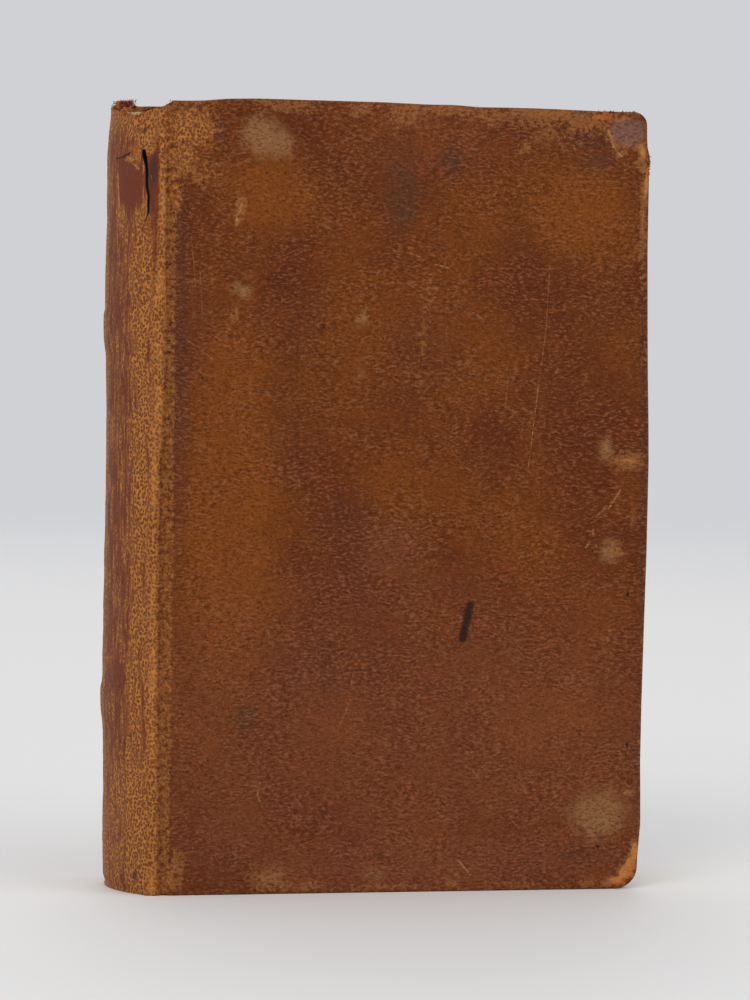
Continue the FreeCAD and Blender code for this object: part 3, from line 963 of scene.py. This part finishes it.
def leatherMaterial():
    made, tree = newMaterial("bindingLeather")
    place = skinPlaces(tree)
    skin = useGroup(tree, skinGrain, {"Place": place}).outputs
    rough = grain(tree, place, 0.8, 4.0, 0.68)[0]
    smudge = grain(tree, place, 0.3, 5.0, 0.75)[0]
    pebble, netted = attribute(tree, "pebble"), attribute(tree, "net")
    plain = calc(tree, "SUBTRACT", 1.0, pebble)

    def broken(name, noiseValue, breakUp, soft):
        inputs = {"Mark": attribute(tree, name), "Grain": noiseValue}
        inputs.update({"Break": breakUp, "Soft": soft})
        return useGroup(tree, brokenMark, inputs).outputs[0]

    def over(name, mask, amount):  # one more colour over what is there
        return tinted(tree, colour, leather[name], times(tree, mask, amount))

    # the dye, with its clouds and stains, and painted shade along the fore-edge
    colour = tinted(tree, leather["deep"], leather["brown"], skin["Cloud"])
    colour = over("warm", skin["Warmth"], 0.22)
    colour = over("warm", broken("warm", smudge, 1.0, 0.6), 0.6)
    colour = over("rosy", broken("rosy", smudge, 0.9, 0.6), 0.5)
    # dark patches, and painted shade along the fore-edge
    colour = over("duskAndEdgeShade", broken("duskAndEdgeShade", smudge, 1.2, 0.5), 0.7)
    colour = over("plum", pebble, 0.85)
    calm = calc(tree, "MINIMUM", attribute(tree, "calm"), 1.0)
    rougher = calc(tree, "SUBTRACT", 1.0, calm)
    colour = over("calm", calm, 0.62)
    colour = over("purple", broken("purple", smudge, 1.4, 0.35), 0.66)
    colour = over("olive", broken("stain", smudge, 1.6, 0.45), 0.72)
    colour = over("pale", broken("pale", smudge, 1.7, 0.65), 0.85)
    strands = times(tree, skin["Strands"], times(tree, pebble, rougher))
    colour = over("strand", strands, 0.5)

    # wear: rubbed through to the skin's own ochre
    net = times(tree, madd(tree, skin["Streaks"], 0.75, times(tree, rough, 0.3)), pebble)
    patchy = madd(tree, calc(tree, "SUBTRACT", rough, 0.5), 1.35, 0.5)
    worn = broken("worn", madd(tree, patchy, plain, net), 2.2, 0.22)
    wornColour = tinted(tree, leather["tan"], leather["ochre"], ramped(tree, rough, 0.38, 0.56))
    wornValue = attribute(tree, "worn")
    heavy = calc(tree, "MAXIMUM", pebble, ramped(tree, wornValue, 0.85, 1.15))
    heavy = calc(tree, "MAXIMUM", heavy, times(tree, netted, 0.8))
    wornColour = tinted(tree, leather["rubbed"], wornColour, heavy)
    wornShare = madd(tree, heavy, 0.25, 0.66)
    colour = tinted(tree, colour, wornColour, times(tree, worn, wornShare))

    # grain over the dye: a painted highlight on its crests and painted shade in its creases,
    # hollows and pores, less where the skin is rubbed smooth
    kept = madd(tree, times(tree, worn, heavy), -0.7, 1.0)
    kept = times(tree, kept, madd(tree, calm, -0.6, 1.0))
    onBoard = times(tree, kept, madd(tree, pebble, -0.7, 1.0))
    colour = over("crestHighlight", times(tree, skin["Crests"], onBoard), 0.5)
    colour = over("shade", times(tree, skin["Creases"], onBoard), 0.56)
    colour = over("shade", times(tree, ramped(tree, skin["Fine"], 0.5, 0.3), kept), 0.5)
    colour = over("shade", times(tree, skin["Pores"], onBoard), 0.6)
    colour = over("fleck", skin["Flecks"], madd(tree, plain, 0.35, 0.2))

    # pits between the rubbed threads of the skin
    colour = over("raw", broken("raw", rough, 2.4, 0.3), 0.66)
    pitShare = calc(tree, "MAXIMUM", times(tree, worn, 0.85), times(tree, pebble, 0.32))
    lasting = madd(tree, ramped(tree, wornValue, 1.35, 0.95), 0.6, 0.4)
    pitShare = times(tree, times(tree, times(tree, pitShare, rougher), lasting), netted)
    colour = over("pit", skin["Pits"], pitShare)
    colour = over("slate", broken("dark", rough, 0.9, 0.4), 0.85)
    light = strokes(tree, place, lightScratches + backTears)
    colour = over("mark", light, ramped(tree, rough, 0.4, 0.58))
    # dark marks in ink, and painted shade in the splits of the back and along the crack
    black = strokes(tree, place, darkScratches + backSplitShades)
    # painted shade beside the crack, drawn in the darkest colour
    crackShade = ramped(tree, attribute(tree, "crackShade"), 0.5, 0.85)
    black = calc(tree, "MAXIMUM", black, crackShade)
    colour = over("inkAndCrackShade", black, 1.0)
    gloss = madd(tree, skin["Fine"], 0.2, 0.46)
    height = calc(tree, "SUBTRACT", skin["Height"], black)
    return finished(made, colour, gloss, 0.1, (height, 0.6, 0.0002))


def fleshMaterial():  # the skin's torn edge and inner side
    made, tree = newMaterial("leatherFlesh")
    place = skinPlaces(tree)
    fibres = grain(tree, stretched(tree, place, (1.6, 0.8, 1)), 1.0, 4.0, 0.7)[0]
    colour = stained(tree, tone(104, 46, 20), tone(186, 108, 54), fibres, 0.35, 0.65)
    # painted shade on the walls of the crack
    crackShade = ramped(tree, attribute(tree, "crackShade"), 0.1, 0.45)
    colour = tinted(tree, colour, leather["inkAndCrackShade"], crackShade)
    return finished(made, colour, 0.85, 0.1, (fibres, 0.6, 0.0003))


def fibreMaterial():
    made, tree = newMaterial("tornFibres")
    value = grain(tree, skinPlaces(tree), 0.7, 3.0, 0.6)[0]
    colour = stained(tree, tone(88, 32, 16), tone(168, 98, 56), value, 0.4, 0.62)
    return finished(made, colour, 0.85, 0.1)


bindingLeather = leatherMaterial()
leatherFlesh = fleshMaterial()
tornFibres = fibreMaterial()


def keepPlaces(obj):  # the material's places stay with the skin when it bends
    writeNumbers(obj, "skinPlace", readVerts(obj) / mm, "FLOAT_VECTOR")
    obj.data.materials.append(tornFibres)


# short frayed fibres that stand on the given places
def fibreBunch(name, roots, lengths, widths, spread):
    clearSelection()
    for number, root in enumerate(roots):
        length, width = random.uniform(*lengths) * mm, random.uniform(*widths) * mm
        tilt = (random.uniform(-spread, spread), random.uniform(-spread, spread), 0)
        if number == 1:
            mode("EDIT")
        bpy.ops.mesh.primitive_cone_add(
            vertices=5, radius1=width, depth=length, location=root, rotation=tilt
        )
    mode("OBJECT")
    made = bpy.context.object
    made.name = name
    bake(made)
    keepPlaces(made)
    return made


def onSkin(s, z, depth):
    one = [np.array([value], float) for value in (s, z, depth, 0)]
    return Vector(placed(wholeLine, *one, "front")[0])


fibreCounts = {"tuft": 150, "edge": 70, "lip": 9, "corner": 90, "foreEdge": 30}


# what is left of the head cap: a frayed lump above the torn edge
def tornTuft():
    lumps = (
        (5.0, 178.9, 1.1, 0.6), (8.4, 179.3, 1.2, 0.8), (12.0, 179.6, 1.1, 0.7),
        (15.4, 179.4, 1.0, 0.6), (18.8, 179.5, 0.9, 0.75), (22.0, 178.6, 0.9, 0.5),
    )
    clearSelection()
    made = []
    for turn, z, wide, tall in lumps:
        bpy.ops.mesh.primitive_ico_sphere_add(
            subdivisions=3, radius=1, location=onSkin(backPlace(turn), z, 0.7)
        )
        lump = bpy.context.object
        lump.scale = (0.75 * mm, wide * mm, tall * mm)
        lump.rotation_euler.z = math.radians(turn)
        bpy.context.view_layer.update()
        bake(lump)
        co = readVerts(lump)
        centre = co.mean(0)
        rough = wander(co[:, [1, 2]] / mm + turn, 1.3, turn)
        rough += wander(co[:, [0, 2]] / mm, 3.0, turn)
        writeVerts(lump, centre + (co - centre) * (1 + 0.42 * rough)[:, None])
        keepPlaces(lump)
        made.append(lump)
    vary = random.uniform
    roots = []
    for _ in range(fibreCounts["tuft"]):
        turn = vary(3.5, 23.5)
        roots.append(onSkin(backPlace(turn), vary(178.8, 180.2), vary(0.0, 1.1)))
    made.append(fibreBunch("tuftFibres", roots, (0.6, 1.5), (0.06, 0.13), 1.1))
    roots = []
    for _ in range(fibreCounts["edge"]):
        s = vary(backPlace(9.0), 0.3)
        roots.append(onSkin(s, float(tornTop(s)) + vary(-0.1, 0.15), vary(0.1, 0.6)))
    for _ in range(fibreCounts["lip"]):
        roots.append(onSkin(vary(-0.2, 0.8), vary(179.5, 180.1), vary(0.1, 0.7)))
    made.append(fibreBunch("edgeFibres", roots, (0.3, 0.75), (0.05, 0.1), 0.7))
    roots = []
    for _ in range(fibreCounts["corner"]):
        s = random.choice((vary(100.0, 105.0), vary(106.0, 110.5)))
        roots.append(onSkin(s, vary(179.6, 180.15), vary(0.2, 1.2)))
    for _ in range(fibreCounts["foreEdge"]):
        roots.append(onSkin(112.4, vary(164.0, 170.0), vary(0.3, 0.9)))
    made.append(fibreBunch("cornerFibres", roots, (0.4, 1.1), (0.07, 0.15), 1.2))
    return made


def onWholeMesh(operation):
    mode("EDIT")
    bpy.ops.mesh.select_all(action="SELECT")
    operation()
    mode("OBJECT")


def finishSkin(obj, side):
    sign = -1 if side == "front" else 1
    markSkin(obj, side)
    activate(obj)
    onWholeMesh(bpy.ops.mesh.normals_make_consistent)
    centre = Vector((0, sign * 0.02, 0.09))
    middle = min(obj.data.polygons, key=lambda face: (face.center - centre).length)
    if middle.normal.y * sign < 0:
        onWholeMesh(bpy.ops.mesh.flip_normals)
    obj.data.materials.append(bindingLeather)
    obj.data.materials.append(leatherFlesh)
    thicken(obj, "skin", skinThickness, -1, 45, 1)
    if side == "front":
        activate(obj, tornTuft())
        bpy.ops.object.join()
    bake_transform(obj)


frontSkin = skinPiece("frontLeather", "front", (3.0, 5.0))
finishSkin(frontSkin, "front")
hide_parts("spine_leather", "front_cover_leather")
print("front leather", len(frontSkin.data.polygons))
rearSkin = skinPiece("rearLeather", "rear", (3.0, 3.5))
finishSkin(rearSkin, "rear")
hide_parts("rear_cover_leather")
print("rear leather", len(rearSkin.data.polygons))


# Plain materials for the pieces that stay as the frame has them
def grainedMaterial(name, dark, pale, scale, bends=False):
    made, tree = newMaterial(name)
    place = skinPlaces(tree) if bends else inMillimetres(tree)
    value = grain(tree, place, scale, 4.0, 0.65)[0]
    wide = grain(tree, place, scale * 0.12, 2.0)[0]
    mixed = madd(tree, wide, 0.5, times(tree, value, 0.5))
    colour = tinted(tree, dark, pale, ramped(tree, mixed, 0.38, 0.62))
    return finished(made, colour, 0.9, 0.15, (value, 0.5, 0.0002))


# cut edges with fine lines between the leaves, and plain paper on the two faces
def leavesMaterial():
    made, tree = newMaterial("leaves")
    place = inMillimetres(tree)

    def field(scale, detail=2.0, roughness=0.6):
        return grain(tree, stretched(tree, place, scale), 1.0, detail, roughness)[0]

    leafLines = field((0.005, 5.0, 0.005), 1.0)
    sections = field((0.004, 0.6, 0.004), 2.0)
    dust = field((0.05, 0.12, 0.05), 3.0)
    edge = stained(tree, tone(160, 134, 92), tone(206, 184, 140), leafLines, 0.32, 0.66)
    edge = stained(tree, edge, tone(140, 112, 74), sections, 0.5, 0.74, 0.55)
    edge = stained(tree, edge, tone(132, 106, 72), dust, 0.5, 0.75, 0.3)
    spots = field((0.2, 0.2, 0.2), 4.0, 0.65)
    fine = field((1.2, 1.2, 1.2), 4.0, 0.7)
    face = tinted(tree, tone(206, 188, 148), tone(222, 206, 170), fine)
    face = stained(tree, face, tone(176, 142, 94), spots, 0.6, 0.76, 0.6)
    rim = rimOf(tree, place, (76.0, 88.5), (46.0, 60.0), ramped(tree, spots, 0.3, 0.6, 0.4))
    face = tinted(tree, face, tone(164, 132, 88), times(tree, rim, 0.6))
    normal = add(tree, "ShaderNodeTexCoord").outputs["Normal"]
    side = add(tree, "ShaderNodeSeparateXYZ", {0: normal}).outputs[1]
    side = ramped(tree, calc(tree, "ABSOLUTE", side), 0.8, 0.95)
    height = times(tree, leafLines, calc(tree, "SUBTRACT", 1.0, side))
    return finished(made, tinted(tree, edge, face, side), 0.9, 0.12, (height, 0.6, 0.0003))


def boardMaterial():
    made, tree = newMaterial("pasteboard")
    place = inMillimetres(tree)
    value = grain(tree, place, 1.5, 4.0, 0.65)[0]
    colour = stained(tree, tone(120, 98, 70), tone(160, 136, 100), value, 0.4, 0.6)
    ends = ramped(tree, parted(tree, place)[1], 86.8, 87.4)
    return finished(made, tinted(tree, colour, leather["deep"], ends), 0.9, 0.12)


def pastedownMaterial():
    made, tree = newMaterial("endpaper")
    place = inMillimetres(tree)
    fine = grain(tree, place, 1.2, 4.0, 0.7)[0]
    spots = grain(tree, place, 0.2, 4.0, 0.65)[0]
    colour = tinted(tree, tone(200, 182, 142), tone(220, 204, 168), fine)
    colour = stained(tree, colour, tone(170, 138, 92), spots, 0.58, 0.76, 0.6)
    patches = ramped(tree, spots, 0.3, 0.62, 0.35)
    overTurnIn = rimOf(tree, place, (72.6, 74.8), (44.0, 46.2), patches)
    colour = tinted(tree, colour, tone(158, 122, 76), times(tree, overTurnIn, 0.55))
    return finished(made, colour, 0.9, 0.12, (fine, 0.4, 0.0001))


def liningMaterial():
    made, tree = newMaterial("liningPaper")
    place = inMillimetres(tree)
    value = grain(tree, place, 1.2, 4.0, 0.65)[0]
    colour = stained(tree, tone(128, 112, 72), tone(196, 174, 128), value, 0.4, 0.6)
    height = add(tree, "ShaderNodeSeparateXYZ", {0: place}).outputs[2]
    # dirt and painted shade: the lining darkens below the torn head edge, where it lies under
    # the leather
    dirtAndShade = ramped(tree, madd(tree, value, 1.5, height), 177.6, 176.0)
    return finished(made, tinted(tree, colour, tone(24, 15, 10), dirtAndShade), 0.9, 0.1)


tawedSkin = grainedMaterial("tawedSkin", tone(170, 152, 118), tone(208, 194, 162), 1.8)
thread = grainedMaterial("sewingThread", tone(176, 160, 122), tone(212, 198, 164), 4.0)
jointLook = grainedMaterial("jointPaper", tone(186, 164, 122), tone(214, 196, 158), 0.5, True)
looks = {
    "text_block": leavesMaterial(),
    "lining": liningMaterial(),
    "_board": boardMaterial(),
    "pastedown": pastedownMaterial(),
    "thong": tawedSkin,
    "slip": tawedSkin,
    "kettle": thread,
}
for name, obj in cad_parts.items():
    for word, look in looks.items():
        if word in name:
            obj.data.materials.clear()
            obj.data.materials.append(look)


# the paper strip down each joint, from the shoulder over the board's inner edge
def jointPaper(side):
    plan = (
        (-0.52, -16.9), (-0.52, -17.4), (-0.5, -17.9), (-0.38, -18.22), (-0.1, -18.36),
        (0.2, -18.3), (0.42, -18.05), (0.48, -17.6), (0.48, -17.0), (0.48, -16.3),
        (0.55, -15.9), (0.85, -15.77), (1.6, -15.76), (2.6, -15.76),
    )
    rows, endGap = 60, 3.6
    obj, col, row = gridAdd(side + "JointPaper", len(plan) - 1, rows)
    flat = np.array(plan)[col]
    sign = 1 if side == "front" else -1
    z = endGap + row / rows * (book["height"] - 2 * endGap)
    z += 0.25 * wander(np.stack([col, z], 1), 0.31, 2.0)
    x = flat[:, 0] + book["joint"]
    writeVerts(obj, np.stack([x, sign * flat[:, 1], z], 1) * mm)
    writeNumbers(obj, "skinPlace", np.stack([flat.sum(1), z, z * 0], 1), "FLOAT_VECTOR")
    thicken(obj, "paper", paperThickness, 0, 50)
    obj.data.materials.append(jointLook)
    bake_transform(obj)


jointPaper("front")
jointPaper("rear")
print("inner pieces")

# Floor, backdrop and light
clearSelection()
bpy.ops.mesh.primitive_circle_add(vertices=96, radius=4.0, fill_type="NGON")
floor = bpy.context.object
floor.name = "floor"
floorPaint, tree = newMaterial("floorPaint")
finished(floorPaint, (0.815, 0.802, 0.79, 1), 0.6, 0.1)
away = add(tree, "ShaderNodeTexCoord").outputs["Object"]
away = vector(tree, "LENGTH", away)["Value"]
clear = add(tree, "ShaderNodeBsdfTransparent").outputs[0]
paint = tree.nodes["Principled BSDF"].outputs[0]
mixer = add(
    tree, "ShaderNodeMixShader", {0: ramped(tree, away, 0.55, 2.4), 1: paint, 2: clear}
)
tree.links.new(mixer.outputs[0], tree.nodes["Material Output"].inputs["Surface"])
floor.data.materials.append(floorPaint)

world = bpy.data.worlds.new("studio")
bpy.context.scene.world = world
world.use_nodes = True
tree = world.node_tree
tree.nodes.clear()
backdrop = tone(208, 209, 213)
seen = add(tree, "ShaderNodeBackground", {"Color": backdrop, "Strength": 1.0})
glow = add(tree, "ShaderNodeBackground", {"Color": (0.95, 0.97, 1.0, 1), "Strength": 0.62})
direct = add(tree, "ShaderNodeLightPath").outputs["Is Camera Ray"]
choose = add(
    tree, "ShaderNodeMixShader", {0: direct, 1: glow.outputs[0], 2: seen.outputs[0]}
)
add(tree, "ShaderNodeOutputWorld", {"Surface": choose.outputs[0]})


def softLight(name, place, size, power, colour=(1, 1, 1)):
    bpy.ops.object.light_add(type="AREA", location=place)
    made = bpy.context.object
    made.name = name
    made.data.shape, made.data.size = "SQUARE", size
    made.data.energy, made.data.color = power, colour
    aim = Vector((0, 0, 0.09)) - Vector(place)
    made.rotation_euler = aim.to_track_quat("-Z", "Y").to_euler()


softLight("keyLight", (-0.9, -1.5, 1.5), 1.2, 16.0, (1.0, 0.985, 0.96))
softLight("fillLight", (1.3, -1.3, 1.0), 1.4, 9.0)
softLight("backLight", (0.2, 1.6, 1.4), 1.4, 8.0)

# Camera
view = {
    "yaw": 10.738, "pitch": 2.276, "pan": 2.459, "roll": -0.727,
    "away": 1097.7, "rise": 134.0, "lens": 174.87,
}
yaw, pitch, pan, roll = (math.radians(view[key]) for key in ("yaw", "pitch", "pan", "roll"))
ahead = Vector(
    (math.sin(yaw) * math.cos(pitch), math.cos(yaw) * math.cos(pitch), -math.sin(pitch))
)
sideways = Vector((math.cos(yaw), -math.sin(yaw), 0))
ahead = (ahead * math.cos(pan) + sideways * math.sin(pan)).normalized()
right = ahead.cross(Vector((0, 0, 1))).normalized()
up = right.cross(ahead)
right, up = (
    right * math.cos(roll) - up * math.sin(roll),
    up * math.cos(roll) + right * math.sin(roll),
)
eye = Vector((book["joint"], -book["half"], 0)) + Vector(
    (-math.sin(yaw) * view["away"], -math.cos(yaw) * view["away"], view["rise"])
)
bpy.ops.object.camera_add()
camera = bpy.context.object
camera.data.lens, camera.data.sensor_width = view["lens"], 36
camera.data.clip_start, camera.data.clip_end = 0.05, 20
turned = Matrix((right, up, -ahead)).transposed().to_4x4()
camera.matrix_world = Matrix.Translation(eye * mm) @ turned
bpy.context.scene.camera = camera
bpy.context.scene.view_settings.view_transform = "Standard"
print("stage and camera")
